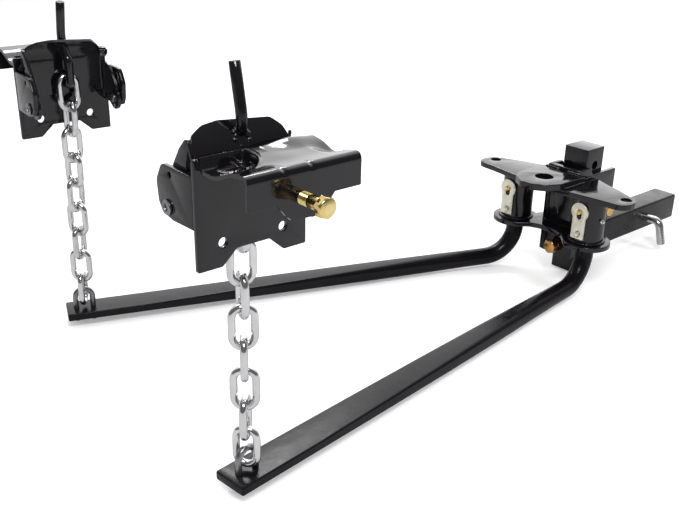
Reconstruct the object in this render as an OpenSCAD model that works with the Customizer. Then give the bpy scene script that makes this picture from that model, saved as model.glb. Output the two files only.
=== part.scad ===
// Weight distribution hitch for a travel trailer: receiver shank, adjustable hitch head,
// two spring bars, lift chains and two snap-up frame brackets.
// Frame: origin at the centre of the ball hole on the top face of the ball tab,
// +X toward the tow vehicle, +Y to its left, +Z up.

/* [Shank] */
// Side of the square shank and receiver tube
shank_w = 50.8; // [45:0.1:60]
// Height of the vertical leg
shank_h = 241; // [220:1:260]
// Length of the receiver tube behind the vertical leg
tube_l = 285; // [200:1:320]
// Distance from the ball hole to the vertical leg
shank_x = 113; // [108:1:120]
// Height of the leg above the ball tab
shank_top = 37; // [20:1:60]
// Hitch pin diameter
pin_d = 15.9; // [12:0.1:16]

/* [Head] */
// Ball hole diameter
ball_hole_d = 32.2; // [25:0.1:34]
// Sway ball hole diameter
sway_hole_d = 19; // [12:0.1:22]
// Sideways distance from the ball hole to a sway ball hole
sway_y = 144.6; // [135:0.1:150]
// Thickness of the ball tab
tab_t = 12; // [9:0.5:14]
// Thickness of the wing plate
wing_t = 10; // [8:0.5:11]
// Thickness of the head channel
channel_t = 9.5; // [8:0.5:11]
// Sideways distance from the ball hole to a socket
socket_y = 80.2; // [76:0.1:84]
// Outer diameter of a socket tube
socket_d = 57; // [54:0.5:60]

/* [Spring bars] */
// Diameter of the round part of a bar
bar_d = 31.75; // [30:0.05:32]
// Length of a bar from its socket to its end
bar_l = 834; // [760:1:900]
// Width of the flat end
flat_w = 50; // [44:1:54]
// Thickness of the flat end
flat_t = 12.7; // [11:0.1:14]
// Swing of the right bar outward from the straight position
right_swing = 6.5; // [0:0.5:12]
// Swing of the left bar outward from the straight position
left_swing = 20.3; // [14:0.1:24]

/* [Chains] */
// Wire diameter of a chain link
wire_d = 9.4; // [9:0.1:9.6]
// Inner length of a chain link
link_in = 40.9; // [40.5:0.1:41]
// Outer width of a chain link
link_w = 36; // [35:0.5:37]

/* [Brackets] */
// Width of a bracket plate
plate_w = 140.6; // [136:0.1:144]
// Height of a bracket plate
plate_h = 122; // [118:1:126]
// Spacing of the two plate holes
plate_hole_gap = 77.5; // [70:0.5:84]
// Depth of the saddle that grips the trailer frame
saddle_d = 84; // [80:1:96]
// Turn of the left bracket about the vertical
left_turn = -3.7; // [-6:0.1:0]

/* [Hidden] */
$fn = 64;
fit = 0.05;
floor_z = shank_top - shank_h;
half_w = shank_w / 2;
tube_mid_z = floor_z + 60.9;
tube_end_x = shank_x + half_w + tube_l;
hitch_pin_x = tube_end_x - 107;
wing_top = -tab_t;
wing_under = wing_top - wing_t;
web_x = shank_x - half_w - 31;
cheek_y = half_w + 0.6;
head_y = cheek_y + channel_t;
socket_x = 34;
socket_bottom = -104;
lower_t = 9;
ring_d = 84;
bar_z = -183;
bend_r = 58;
bar_top = -30;
pin_z = -45;
rivet_z = -86;
pivot_z = -58.5;
clamp_x = shank_x + 39;
clamp_z = -85;
head_bolt_d = 15.9;
tilt_z = -146;
u_from_socket = 805;
u_gap = 27;
u_d = 9;
u_top = -140.5;
arch_z = u_top - (u_gap + u_d) / 2;
bar_face = bar_z + flat_t / 2;
link_count = 9;
link_step = link_in - 0.4;
link_r = link_w / 2 - wire_d / 2;
chain_low = bar_face + 4 + wire_d / 2;
hook_z = chain_low + link_count * link_step + 0.4 + wire_d;
link_twist = 6.9;
left_chain_shift = [7, -4];
plate_v = -19;
plate_t = 6;
plate_low = 113.5;
plate_high = plate_low + plate_h;
ear_t = 6;
pivot_v = 30;
pivot_w = hook_z - 35;
pivot_d = 12.7;
yoke_half = plate_w / 2 - ear_t - 1;
yoke_t = 5;
flange_v = plate_v - saddle_d;
sheet_t = 5;
set_z = 206;
set_d = 14.3;
set_af = 20.6;
rod_d = 12.7;
hex_k = 2 / sqrt(3);
pin_reach = 20;
pin_bend = 16;
pin_turn = 75;
pin_leg = 35;
pin_tail = 40;
clip_y = 33;
clip_d = 4;
clip_gap = 11.5;
cheek_end = shank_x + half_w + 30;
weld = 3.4;
strap_t = 3;
strap_x = socket_x - socket_d / 2 - strap_t - 1.4;
latch_d = 9;
latch_tip = socket_x - bar_d / 2 + 2.4;
rivet_d = 6;
run_x = bend_r + 40;
web_low = 178;
web_high = 262;
web_v = -10;
web_out = web_v - yoke_t;
hook_gap = wire_d / 2 + 0.8;
hook_r = 7;
jog_low = 227;
jog_r = 12;
jog_turn = 40;
grip_v = -7;
// The bends are a little thicker than the rod, and the straights reach into them
bend_swell = 0.06;
bend_lap = 0.3;
grip_lean = 10;
right_grip_l = 61.5;
left_grip_l = 54.5;
bolt_af = 23.8;
set_reach = 50;
set_stand = 30;
saddle_shift = 5;
// Half of the wing plate outline, from the ball line out to the tip and back
wing_front = [[-5, 0], [-5, 62], [3, 118], [5, 146]];
wing_tip = [[8, 155], [14, 161], [24, 164], [36, 164], [46, 161]];
wing_back = [[56, 148], [75, 104], [82, 80], [96, head_y + 12], [96, 0]];
// Top of the saddle sheet: distance outboard of the plate, height
saddle_top = [[0, 236], [6, 237], [13, 233], [20, 230], [38, 229.5], [saddle_d - 29, 231],
    [saddle_d - 18, 236], [saddle_d - 9, 240], [saddle_d - 2, 238], [saddle_d, 234]];
// Side view of an ear: distance inboard, height
ear_side = [[plate_v, pivot_w - 12], [plate_v, 217], [40, 217], [52, 197], [49, pivot_w + 2],
    [42, pivot_w - 9], [22, pivot_w - 13]];

// A cylinder along X, Y or a hexagon along Z
module along_x(d, l) { rotate([0, 90, 0]) cylinder(d = d, h = l, center = true); }
module along_y(d, l) { rotate([90, 0, 0]) cylinder(d = d, h = l, center = true); }
module hex_bar(af, h) { cylinder(d = af * hex_k, h = h, $fn = 6); }

// A hex bolt with its head on top, pointing down from z = 0
module hex_bolt(d, l, af, head_h) {
    cylinder(d = d, h = l + 0.01);
    translate([0, 0, -head_h]) hex_bar(af, head_h);
}

// Receiver shank -----------------------------------------------------------

module receiver_shank() {
    color("#15151a") difference() {
        union() {
            translate([shank_x - half_w, -half_w, floor_z]) cube([shank_w, shank_w, shank_h]);
            translate([shank_x + half_w, -half_w, tube_mid_z - half_w])
                cube([tube_l, shank_w, shank_w]);
            translate([shank_x + half_w, -half_w, tube_mid_z + half_w]) shank_weld();
        }
        for (z = [5, pivot_z])
            translate([shank_x, 0, z]) along_y(head_bolt_d + 2 * fit + 0.1, shank_w + 2);
        translate([hitch_pin_x, 0, tube_mid_z]) along_y(pin_d + 2 * fit, shank_w + 2);
        translate([shank_x + half_w + 60, -half_w + 6.4, tube_mid_z - half_w + 6.4])
            cube([tube_l, shank_w - 12.8, shank_w - 12.8]);
    }
}

// Fillet weld where the tube meets the vertical leg
module shank_weld() {
    rotate([-90, 0, 0]) linear_extrude(shank_w)
        polygon([[0, 0], [0, -7], [7, 0]]);
}

// Bent hitch pin, with a cross hole for its clip
module hitch_pin() {
    color("silver") translate([hitch_pin_x, 0, tube_mid_z]) difference() {
        union() {
            translate([0, (pin_tail - half_w - pin_reach) / 2, 0])
                along_y(pin_d, pin_tail + half_w + pin_reach);
            translate([0, -half_w - pin_reach, -pin_bend]) rotate([90, 0, -90])
                rotate([0, 0, 90 - pin_turn]) {
                    rotate_extrude(angle = pin_turn) translate([pin_bend, 0]) circle(d = pin_d);
                    translate([pin_bend, 0, 0]) rotate([90, 0, 0]) cylinder(d = pin_d, h = pin_leg);
                }
        }
        translate([0, clip_y, 0]) cylinder(d = clip_d + 2 * fit, h = 30, center = true);
    }
}

// Hairpin clip through the end of the hitch pin
module hitch_pin_clip() {
    color("gainsboro") translate([hitch_pin_x, clip_y, tube_mid_z]) {
        translate([0, 0, -24]) cylinder(d = clip_d, h = 42);
        translate([0, clip_gap / 2, 18]) rotate([90, 0, 90])
            rotate_extrude(angle = 180) translate([clip_gap / 2, 0]) circle(d = clip_d);
        translate([0, clip_gap, -12]) cylinder(d = clip_d, h = 30);
    }
}

// Hitch head ---------------------------------------------------------------

// Side view of a cheek of the head channel
module cheek_outline() {
    polygon([[web_x, -164], [web_x, 6], [shank_x - 24, 6], [shank_x - 16, -8],
        [cheek_end, -8], [cheek_end, -104], [cheek_end - 12, -112],
        [shank_x - 4, -112], [web_x + 30, -164]]);
}

module head_bolt_holes() {
    for (p = [[shank_x, pivot_z], [clamp_x, clamp_z]])
        translate([p[0], 0, p[1]]) along_y(head_bolt_d + 2 * fit, 100);
}

// Channel that wraps the front and sides of the shank
module head_channel() {
    color("#131317") difference() {
        union() {
            for (s = [-1, 1])
                translate([0, s > 0 ? head_y : -cheek_y, 0]) rotate([90, 0, 0])
                    linear_extrude(channel_t) cheek_outline();
            translate([web_x, -cheek_y, -164]) cube([channel_t, 2 * cheek_y, 170]);
        }
        head_bolt_holes();
        translate([web_x, 0, tilt_z]) along_x(head_bolt_d + 2 * fit, 40);
    }
}

module wing_half_shape() {
    difference() {
        polygon(concat(wing_front, wing_tip, wing_back));
        translate([web_x, -1]) square([60, head_y + 1]);
    }
}

// Wing plate that carries the sway ball holes
module wing_plate() {
    color("#1a1a1f") difference() {
        translate([0, 0, wing_under]) linear_extrude(wing_t) {
            wing_half_shape();
            mirror([0, 1]) wing_half_shape();
        }
        cylinder(d = ball_hole_d, h = 99, center = true);
        for (s = [-1, 1])
            translate([39, s * sway_y, wing_under])
                cylinder(d = sway_hole_d, h = 3 * wing_t, center = true);
    }
}

// Rounded tab under the hitch ball, welded on top of the wing plate
module ball_tab() {
    color("#202026") difference() {
        translate([0, 0, -tab_t]) linear_extrude(tab_t)
            polygon([[web_x, 46], [-12, 46], [-36, 35], [-52, 12], [-52, -12],
                [-36, -35], [-12, -46], [web_x, -46]]);
        cylinder(d = ball_hole_d, h = 99, center = true);
    }
}

// Dog-bone plate that ties the socket tubes together below
module lower_plate() {
    color("#17171b") translate([0, 0, socket_bottom - lower_t]) difference() {
        linear_extrude(lower_t) difference() {
            union() {
                for (s = [-1, 1])
                    translate([socket_x, s * socket_y]) circle(d = ring_d);
                translate([30, -socket_y]) square([66, 2 * socket_y]);
            }
            translate([12, 0]) circle(r = 26);
            translate([web_x, -head_y]) square([90, 2 * head_y]);
        }
        for (s = [-1, 1])
            translate([socket_x, s * socket_y, 0]) cylinder(d = bar_d + 1.2, h = 99, center = true);
    }
}

module socket(s) {
    color("#141418") translate([socket_x, s * socket_y, 0]) difference() {
        translate([0, 0, socket_bottom]) cylinder(d = socket_d, h = wing_under - socket_bottom);
        translate([0, 0, socket_bottom - 1])
            cylinder(d = bar_d + 2 * fit, h = bar_top + 2 - socket_bottom);
        translate([-socket_d / 2, 0, pin_z]) along_x(latch_d + 6, socket_d);
        translate([-socket_d / 2, 0, rivet_z]) along_x(rivet_d + 2 * fit, 16);
        rotate([0, 0, s * 100]) translate([socket_d / 2, 0, -60]) along_x(6 + 2 * fit, 16);
    }
}

module right_socket() { socket(-1); }
module left_socket() { socket(1); }

// A fillet weld ring round a vertical tube
module ring_weld(d, z, up) {
    translate([0, 0, z]) rotate_extrude()
        polygon([[d / 2, 0], [d / 2 + weld, 0], [d / 2, up * weld]]);
}

// Weld beads between the sockets, the channel and the plates
module head_welds() {
    color("#101014") {
        for (s = [-1, 1])
            translate([socket_x, s * socket_y, 0]) {
                ring_weld(socket_d, socket_bottom, 1);
                ring_weld(socket_d, wing_under, -1);
            }
        for (s = [-1, 1])
            translate([0, s * 46, -tab_t]) rotate([0, 90, 0])
                linear_extrude(web_x - 14)
                    polygon([[0, 0], [0, s * weld], [-weld, 0]]);
    }
}

module head_bolts() {
    color("goldenrod")
        for (p = [[shank_x, pivot_z], [clamp_x, clamp_z]])
            translate([p[0], -head_y - 3, p[1]]) rotate([-90, 0, 0])
                hex_bolt(head_bolt_d, 2 * head_y + 24, bolt_af, 10);
}

module head_bolt_washers() {
    color("darkgoldenrod")
        for (p = [[shank_x, pivot_z], [clamp_x, clamp_z]])
            for (s = [-1, 1])
                translate([p[0], s * (head_y + 1.5), p[1]]) difference() {
                    along_y(33, 3);
                    along_y(head_bolt_d + 2 * fit, 9);
                }
}

module head_bolt_nuts() {
    color("goldenrod")
        for (p = [[shank_x, pivot_z], [clamp_x, clamp_z]])
            translate([p[0], head_y + 3, p[1]]) difference() {
                rotate([-90, 0, 0]) hex_bar(bolt_af, 14);
                along_y(head_bolt_d + 2 * fit, 60);
            }
}

// Weld nut for the tilt bolt, on the inner face of the channel web
module tilt_nut() {
    color("#16161a") translate([web_x + channel_t, 0, tilt_z]) difference() {
        rotate([0, 90, 0]) hex_bar(bolt_af, 12);
        along_x(head_bolt_d + 2 * fit, 60);
    }
}

// Bolt that pushes on the shank to set the tilt of the head
module tilt_bolt() {
    reach = shank_x - half_w - web_x + 9 - 0.4;
    color("goldenrod") translate([web_x - 9, 0, tilt_z]) rotate([0, 90, 0]) {
        hex_bolt(head_bolt_d, reach - 5, bolt_af, 10);
        translate([0, 0, reach - 5]) cylinder(d1 = head_bolt_d, d2 = 6, h = 5);
    }
}

module grease_fittings() {
    color("gainsboro")
        for (s = [-1, 1])
            translate([socket_x, s * socket_y, -60]) rotate([0, 0, s * 100]) rotate([0, 90, 0]) {
                translate([0, 0, socket_d / 2 - 8]) cylinder(d = 6, h = 10);
                translate([0, 0, socket_d / 2 + 2]) cylinder(d1 = 8, d2 = 5, h = 5);
            }
}

// Sheet latch with a round head, a strap and two holes
module retainer(s) {
    color("#d9d3a8") translate([strap_x, s * socket_y, 0]) rotate([90, 0, 90])
        linear_extrude(strap_t) difference() {
            union() {
                translate([0, pin_z]) circle(d = 34);
                translate([-13, rivet_z - 9]) square([26, pin_z - rivet_z + 9]);
            }
            translate([0, pin_z]) circle(d = latch_d + 2 * fit);
            translate([0, rivet_z]) circle(d = rivet_d + 1.6);
        }
}

module right_retainer() { retainer(-1); }
module left_retainer() { retainer(1); }

// Pin that holds the bar up in its socket
module retainer_pin(s) {
    color("#b9b083") translate([strap_x, s * socket_y, pin_z]) rotate([0, 90, 0]) {
        translate([0, 0, -4]) cylinder(d = 13, h = 4);
        cylinder(d = latch_d, h = latch_tip - strap_x);
    }
}

module right_retainer_pin() { retainer_pin(-1); }
module left_retainer_pin() { retainer_pin(1); }

module retainer_rivets() {
    color("#9a957a")
        for (s = [-1, 1])
            translate([strap_x, s * socket_y, rivet_z]) rotate([0, 90, 0]) {
                translate([0, 0, -4]) cylinder(d = 11, h = 2.5);
                translate([0, 0, -2]) cylinder(d = rivet_d, h = 12);
            }
}

// Spring bars --------------------------------------------------------------

// Places a bar's own frame: origin at its socket axis, x along the bar
module bar_frame(s) {
    turn = s > 0 ? 180 - left_swing : 180 + right_swing;
    translate([socket_x, s * socket_y, 0]) rotate([0, 0, turn]) children();
}

// A thin slice of the run: width, thickness, distance
module slice(x, w, t) {
    translate([x, 0, bar_z]) rotate([0, 90, 0])
        linear_extrude(0.5)
            intersection() {
                scale([1, w / t]) circle(d = t * 1.12, $fn = 40);
                square([t, w], center = true);
            }
}

module spring_bar(s) {
    color("#1b1b20") bar_frame(s) difference() {
        union() {
            translate([0, 0, bar_z + bend_r]) cylinder(d = bar_d, h = bar_top - bar_z - bend_r);
            translate([bend_r, 0, bar_z + bend_r]) rotate([90, 0, 0]) rotate([0, 0, 180])
                rotate_extrude(angle = 90) translate([bend_r, 0]) circle(d = bar_d);
            translate([bend_r + 20, 0, bar_z]) along_x(bar_d, 40);
            hull() {
                translate([run_x, 0, bar_z]) rotate([0, 90, 0]) cylinder(d = bar_d, h = 0.5, $fn = 32);
                slice(run_x + 190, 38, 27);
            }
            hull() {
                slice(run_x + 190, 38, 27);
                slice(bar_l - 260, 46, 17);
            }
            hull() {
                slice(bar_l - 260, 46, 17);
                slice(bar_l - 120, flat_w, flat_t);
            }
            translate([bar_l - 120, -flat_w / 2, bar_z - flat_t / 2]) cube([120, flat_w, flat_t]);
        }
        translate([0, 0, pin_z]) rotate_extrude() translate([bar_d / 2 - 3.2, -6]) square([9, 12]);
        for (e = [-1, 1])
            translate([u_from_socket + e * u_gap / 2, 0, bar_z])
                cylinder(d = u_d + 2 * fit, h = 60, center = true);
    }
}

module right_spring_bar() { spring_bar(-1); }
module left_spring_bar() { spring_bar(1); }

// U-bolt through the flat end of a bar
module u_bolt(s) {
    color("#5b5b60") bar_frame(s) translate([u_from_socket, 0, 0]) {
        translate([0, 0, arch_z]) rotate([90, 0, 0])
            rotate_extrude(angle = 180) translate([u_gap / 2, 0]) circle(d = u_d);
        for (e = [-1, 1])
            translate([e * u_gap / 2, 0, bar_face - flat_t - 11])
                cylinder(d = u_d, h = arch_z - bar_face + flat_t + 11);
    }
}

module right_u_bolt() { u_bolt(-1); }
module left_u_bolt() { u_bolt(1); }

module u_bolt_nuts(s) {
    color("#4a4a4f") bar_frame(s)
        for (e = [-1, 1])
            translate([u_from_socket + e * u_gap / 2, 0, bar_face - flat_t - 8]) difference() {
                hex_bar(14, 8);
                cylinder(d = u_d + 2 * fit, h = 30, center = true);
            }
}

module right_u_bolt_nuts() { u_bolt_nuts(-1); }
module left_u_bolt_nuts() { u_bolt_nuts(1); }

// Chains -------------------------------------------------------------------

// Angle of a bar's direction in the plan
function bar_turn(s) = s > 0 ? 180 - left_swing : 180 + right_swing;
function u_place(s) = [socket_x + u_from_socket * cos(bar_turn(s)),
    s * socket_y + u_from_socket * sin(bar_turn(s))];

// Places a bracket's own frame: x along the frame rail, y inboard, z up
module hanger_frame(s) {
    p = u_place(s);
    shift = s > 0 ? left_chain_shift : [0, 0];
    translate([p[0] + shift[0], p[1] + shift[1], 0]) rotate([0, 0, s > 0 ? 180 + left_turn : 0])
        children();
}

// One welded oval link, standing on its lower outer end
module chain_link() {
    half = link_in / 2 + wire_d - link_w / 2;
    rotate([90, 0, 90]) {
        for (e = [-1, 1])
            translate([0, e * half]) rotate([0, 0, e > 0 ? 0 : 180])
                rotate_extrude(angle = 180) translate([link_r, 0]) circle(d = wire_d);
        for (e = [-1, 1])
            translate([e * link_r, 0, 0]) rotate([90, 0, 0])
                cylinder(d = wire_d, h = 2 * half, center = true);
    }
}

// The chain leans a little where its bracket stands off from the U-bolt
module chain(s) {
    p = u_place(s);
    shift = s > 0 ? left_chain_shift : [0, 0];
    low = chain_low + link_in / 2 + wire_d / 2;
    lean = s > 0 ? left_turn : 0;
    color("#d4d4d2")
        for (k = [0:link_count - 1]) {
            part = k / (link_count - 1);
            angle = lean + 90 + (link_count - 1 - k) * (90 + s * link_twist);
            translate([p[0] + part * shift[0], p[1] + part * shift[1], low + k * link_step])
                rotate([0, 0, angle]) chain_link();
        }
}

module right_chain() { chain(-1); }
module left_chain() { chain(1); }

// Frame brackets -----------------------------------------------------------

module bracket_plate(s) {
    color("#17171c") hanger_frame(s) translate([0, plate_v, 0]) rotate([90, 0, 0])
        linear_extrude(plate_t) difference() {
            translate([-plate_w / 2, plate_low]) square([plate_w, plate_h]);
            polygon([[-40, plate_low - 1], [-40, plate_low], [-21, plate_low + 17],
                [21, plate_low + 17], [40, plate_low], [40, plate_low - 1]]);
            for (e = [-1, 1])
                translate([e * plate_hole_gap / 2, plate_low + 27.5]) circle(d = 11);
        }
}

module right_bracket_plate() { bracket_plate(-1); }
module left_bracket_plate() { bracket_plate(1); }

module saddle(s) {
    back = plate_v - plate_t;
    inner = saddle_d - sheet_t;
    saddle_under = concat([[saddle_d, 184], [inner, 184], [inner, 232], [saddle_d - 12, 234]],
        [for (i = [6:-1:0]) saddle_top[i] - [0, sheet_t]]);
    ahead = -s * saddle_shift;
    color("#1c1c22") hanger_frame(s) difference() {
        translate([ahead, back, 0]) rotate([90, 0, -90]) translate([0, 0, -plate_w / 2])
            linear_extrude(plate_w)
                polygon(concat(saddle_top, saddle_under));
        for (e = [-1, 1])
            translate([ahead, back - saddle_d + sheet_t + 1, 0]) rotate([90, 0, 0])
                linear_extrude(sheet_t + 2)
                    polygon([[e * 18, 183], [e * 36, 202], [e * 75, 204], [e * 75, 183]]);
        translate([0, back - saddle_d, set_z]) along_y(set_d + 2 * fit, 30);
    }
}

module right_saddle() { saddle(-1); }
module left_saddle() { saddle(1); }

module ears(s) {
    color("#16161b") hanger_frame(s)
        for (e = [-1, 1])
            difference() {
                translate([e * (plate_w / 2 - ear_t / 2), 0, 0]) rotate([90, 0, 90])
                    linear_extrude(ear_t, center = true) polygon(ear_side);
                translate([0, pivot_v, pivot_w]) along_x(pivot_d + 2 * fit, 200);
                translate([0, 24, 208]) along_x(7, 200);
            }
}

module right_ears() { ears(-1); }
module left_ears() { ears(1); }

// Two short pins that the yoke turns on
module pivot_pins(s) {
    color("#2a2a2e") hanger_frame(s)
        for (e = [-1, 1])
            translate([e * (plate_w / 2 - 6.5), pivot_v, pivot_w]) {
                along_x(pivot_d, 19);
                translate([e * 8, 0, 0]) along_x(pivot_d + 4, 3);
            }
}

module right_pivot_pins() { pivot_pins(-1); }
module left_pivot_pins() { pivot_pins(1); }

// Curved web and two cheeks that carry the lever
module yoke(s) {
    color("#141419") hanger_frame(s) difference() {
        union() {
            for (e = [-1, 1])
                translate([e * (yoke_half - yoke_t / 2), 0, 0]) rotate([90, 0, 90])
                    linear_extrude(yoke_t, center = true) union() {
                        translate([pivot_v, pivot_w]) circle(d = 34);
                        polygon([[web_out, web_low], [web_out, 215], [-9, 236], [0, 243], [8, 242],
                            [14, 235], [26, 219], [pivot_v + 16, pivot_w + 5],
                            [pivot_v - 5, pivot_w - 16]]);
                    }
            intersection() {
                translate([-yoke_half, 0, 0]) rotate([90, 0, 90]) linear_extrude(2 * yoke_half)
                    polygon([[web_out, web_low], [web_out, 215], [-8, 242], [6, web_high],
                        [10, web_high - 4], [-3, 239], [web_v, 214], [web_v, web_low]]);
                mirror([s > 0 ? 1 : 0, 0, 0]) rotate([90, 0, 0]) linear_extrude(100, center = true)
                    polygon([[-yoke_half, web_low], [-yoke_half, 241], [-56, 254], [-42, 260],
                        [-22, web_high], [42, 257], [53, 248], [yoke_half, 226], [yoke_half, web_low]]);
            }
        }
        translate([0, pivot_v, pivot_w]) along_x(pivot_d + 2 * fit, 200);
        translate([0, 24, 208]) along_x(7, 200);
        rod_shape(rod_d + 2 * fit, left_grip_l);
    }
}

module right_yoke() { yoke(-1); }
module left_yoke() { yoke(1); }

// A round bend in the bracket's v-z plane: centre, start angle, turn
module rod_bend(d, v, z, r, start, turn) {
    translate([0, v, z]) rotate([90, 0, 90]) rotate([0, 0, start])
        rotate_extrude(angle = turn) translate([r, 0]) circle(d = d + bend_swell);
}

// Lever rod: a hook under the top link, a jog through the yoke and a leaning handle
module rod_shape(d, grip_l) {
    in_v = hook_gap + rod_d / 2;
    low_z = hook_z - in_v;
    step_v = jog_r * (1 - cos(jog_turn));
    step_z = jog_r * sin(jog_turn);
    jog_l = (in_v - grip_v - 2 * step_v) / sin(jog_turn);
    jog_z = jog_low + step_z;
    grip_z = jog_z + jog_l * cos(jog_turn) + step_z;
    translate([0, (in_v - hook_r - 8 + bend_lap) / 2, low_z]) along_y(d, in_v - hook_r + 8 + bend_lap);
    rod_bend(d, in_v - hook_r, low_z + hook_r, hook_r, -90, 90);
    translate([0, in_v, low_z + hook_r - bend_lap])
        cylinder(d = d, h = jog_low - low_z - hook_r + 2 * bend_lap);
    rod_bend(d, in_v - jog_r, jog_low, jog_r, 0, jog_turn);
    translate([0, in_v - step_v, jog_z]) rotate([jog_turn, 0, 0]) translate([0, 0, -bend_lap])
        cylinder(d = d, h = jog_l + 2 * bend_lap);
    rod_bend(d, grip_v + jog_r, grip_z, jog_r, 180 - grip_lean, jog_turn + grip_lean);
    translate([0, grip_v + jog_r * (1 - cos(grip_lean)), grip_z + jog_r * sin(grip_lean)])
        rotate([-grip_lean, 0, 0]) translate([0, 0, -bend_lap]) cylinder(d = d, h = grip_l + bend_lap);
}

module lever(s) {
    color("#101014") hanger_frame(s) rod_shape(rod_d, s > 0 ? left_grip_l : right_grip_l);
}

module right_lever() { lever(-1); }
module left_lever() { lever(1); }

// Nut welded behind the saddle flange
module set_nut(s) {
    color("#1a1a1e") hanger_frame(s)
        translate([0, flange_v - plate_t + sheet_t, set_z]) difference() {
            rotate([-90, 0, 0]) hex_bar(set_af, 11);
            along_y(set_d + 2 * fit, 60);
        }
}

module right_set_nut() { set_nut(-1); }
module left_set_nut() { set_nut(1); }

module set_bolt(s) {
    color("#d7b45a") hanger_frame(s)
        translate([0, flange_v - plate_t - set_stand, set_z]) rotate([-90, 0, 0])
            hex_bolt(set_d, set_reach, set_af, 9);
}

module right_set_bolt() { set_bolt(-1); }
module left_set_bolt() { set_bolt(1); }

receiver_shank();
hitch_pin();
hitch_pin_clip();
head_channel();
wing_plate();
ball_tab();
lower_plate();
right_socket();
left_socket();
head_welds();
head_bolts();
head_bolt_washers();
head_bolt_nuts();
tilt_nut();
tilt_bolt();
grease_fittings();
right_retainer();
left_retainer();
right_retainer_pin();
left_retainer_pin();
retainer_rivets();
right_spring_bar();
left_spring_bar();
right_u_bolt();
left_u_bolt();
right_u_bolt_nuts();
left_u_bolt_nuts();
right_chain();
left_chain();
right_bracket_plate();
left_bracket_plate();
right_saddle();
left_saddle();
right_ears();
left_ears();
right_pivot_pins();
left_pivot_pins();
right_yoke();
left_yoke();
right_lever();
left_lever();
right_set_nut();
left_set_nut();
right_set_bolt();
left_set_bolt();
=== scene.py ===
import math
import random

import bmesh
import bpy
from mathutils import Matrix, Vector, noise


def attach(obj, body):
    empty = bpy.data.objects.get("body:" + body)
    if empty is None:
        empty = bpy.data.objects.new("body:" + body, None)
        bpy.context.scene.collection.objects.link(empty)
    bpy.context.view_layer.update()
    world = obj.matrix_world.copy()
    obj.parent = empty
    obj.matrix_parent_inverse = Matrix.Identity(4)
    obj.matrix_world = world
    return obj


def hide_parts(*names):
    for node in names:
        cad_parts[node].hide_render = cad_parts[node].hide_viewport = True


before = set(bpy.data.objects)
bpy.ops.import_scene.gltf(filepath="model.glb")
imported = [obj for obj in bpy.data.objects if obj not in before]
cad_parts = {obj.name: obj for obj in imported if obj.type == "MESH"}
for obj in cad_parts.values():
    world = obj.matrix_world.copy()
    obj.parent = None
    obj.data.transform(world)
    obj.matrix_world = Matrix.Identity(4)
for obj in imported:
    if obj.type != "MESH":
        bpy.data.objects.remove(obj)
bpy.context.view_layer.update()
# the wobble of the weld beads is the same in every run
noise.seed_set(11)

MM = 0.001
X, Y, Z = Vector((1, 0, 0)), Vector((0, 1, 0)), Vector((0, 0, 1))


# Materials ------------------------------------------------------------------

def nodes_of(name):
    mat = bpy.data.materials.new(name)
    mat.use_nodes = True
    tree = mat.node_tree
    tree.nodes.clear()
    out = tree.nodes.new("ShaderNodeOutputMaterial")
    bsdf = tree.nodes.new("ShaderNodeBsdfPrincipled")
    tree.links.new(bsdf.outputs[0], out.inputs[0])
    coord = tree.nodes.new("ShaderNodeTexCoord")
    return mat, tree, bsdf, coord


def noise_node(tree, coord, scale, detail=3.0, rough=0.5):
    n = tree.nodes.new("ShaderNodeTexNoise")
    n.inputs["Scale"].default_value = scale
    n.inputs["Detail"].default_value = detail
    n.inputs["Roughness"].default_value = rough
    tree.links.new(coord.outputs["Object"], n.inputs["Vector"])
    return n


def ramp(tree, source, stops):
    r = tree.nodes.new("ShaderNodeValToRGB")
    tree.links.new(source, r.inputs[0])
    e = r.color_ramp.elements
    while len(e) < len(stops):
        e.new(0.5)
    for k, (pos, col) in enumerate(stops):
        e[k].position = pos
        e[k].color = (*col, 1) if len(col) == 3 else (col[0], col[0], col[0], 1)
    return r


def bump(tree, height, strength, distance, normal=None):
    b = tree.nodes.new("ShaderNodeBump")
    b.inputs["Strength"].default_value = strength
    b.inputs["Distance"].default_value = distance
    tree.links.new(height, b.inputs["Height"])
    if normal is not None:
        tree.links.new(normal, b.inputs["Normal"])
    return b


def soft_edges(tree, radius):
    b = tree.nodes.new("ShaderNodeBevel")
    b.samples = 4
    b.inputs["Radius"].default_value = radius
    return b


def paint(name, rough=(0.05, 0.13), peel=0.05, wave=0.06, base=(0.0030, 0.0026, 0.0034), spec=0.5):
    """Black coat: a glossy film with a fine orange peel and a slow wave."""
    mat, tree, bsdf, coord = nodes_of(name)
    big = noise_node(tree, coord, 9.0, 3)
    col = ramp(tree, big.outputs[0], [(0.3, base), (0.75, tuple(c * 1.9 for c in base))])
    tree.links.new(col.outputs[0], bsdf.inputs["Base Color"])
    film = noise_node(tree, coord, 34.0, 4)
    rr = ramp(tree, film.outputs[0], [(0.3, (rough[0],)), (0.72, (rough[1],))])
    tree.links.new(rr.outputs[0], bsdf.inputs["Roughness"])
    bsdf.inputs["Specular IOR Level"].default_value = spec
    soft = soft_edges(tree, 0.0008)
    wavy = noise_node(tree, coord, 55.0, 2)
    b1 = bump(tree, wavy.outputs[0], wave, 0.004, soft.outputs[0])
    orange = noise_node(tree, coord, 420.0, 2)
    b2 = bump(tree, orange.outputs[0], peel, 0.0012, b1.outputs[0])
    tree.links.new(b2.outputs[0], bsdf.inputs["Normal"])
    return mat


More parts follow.
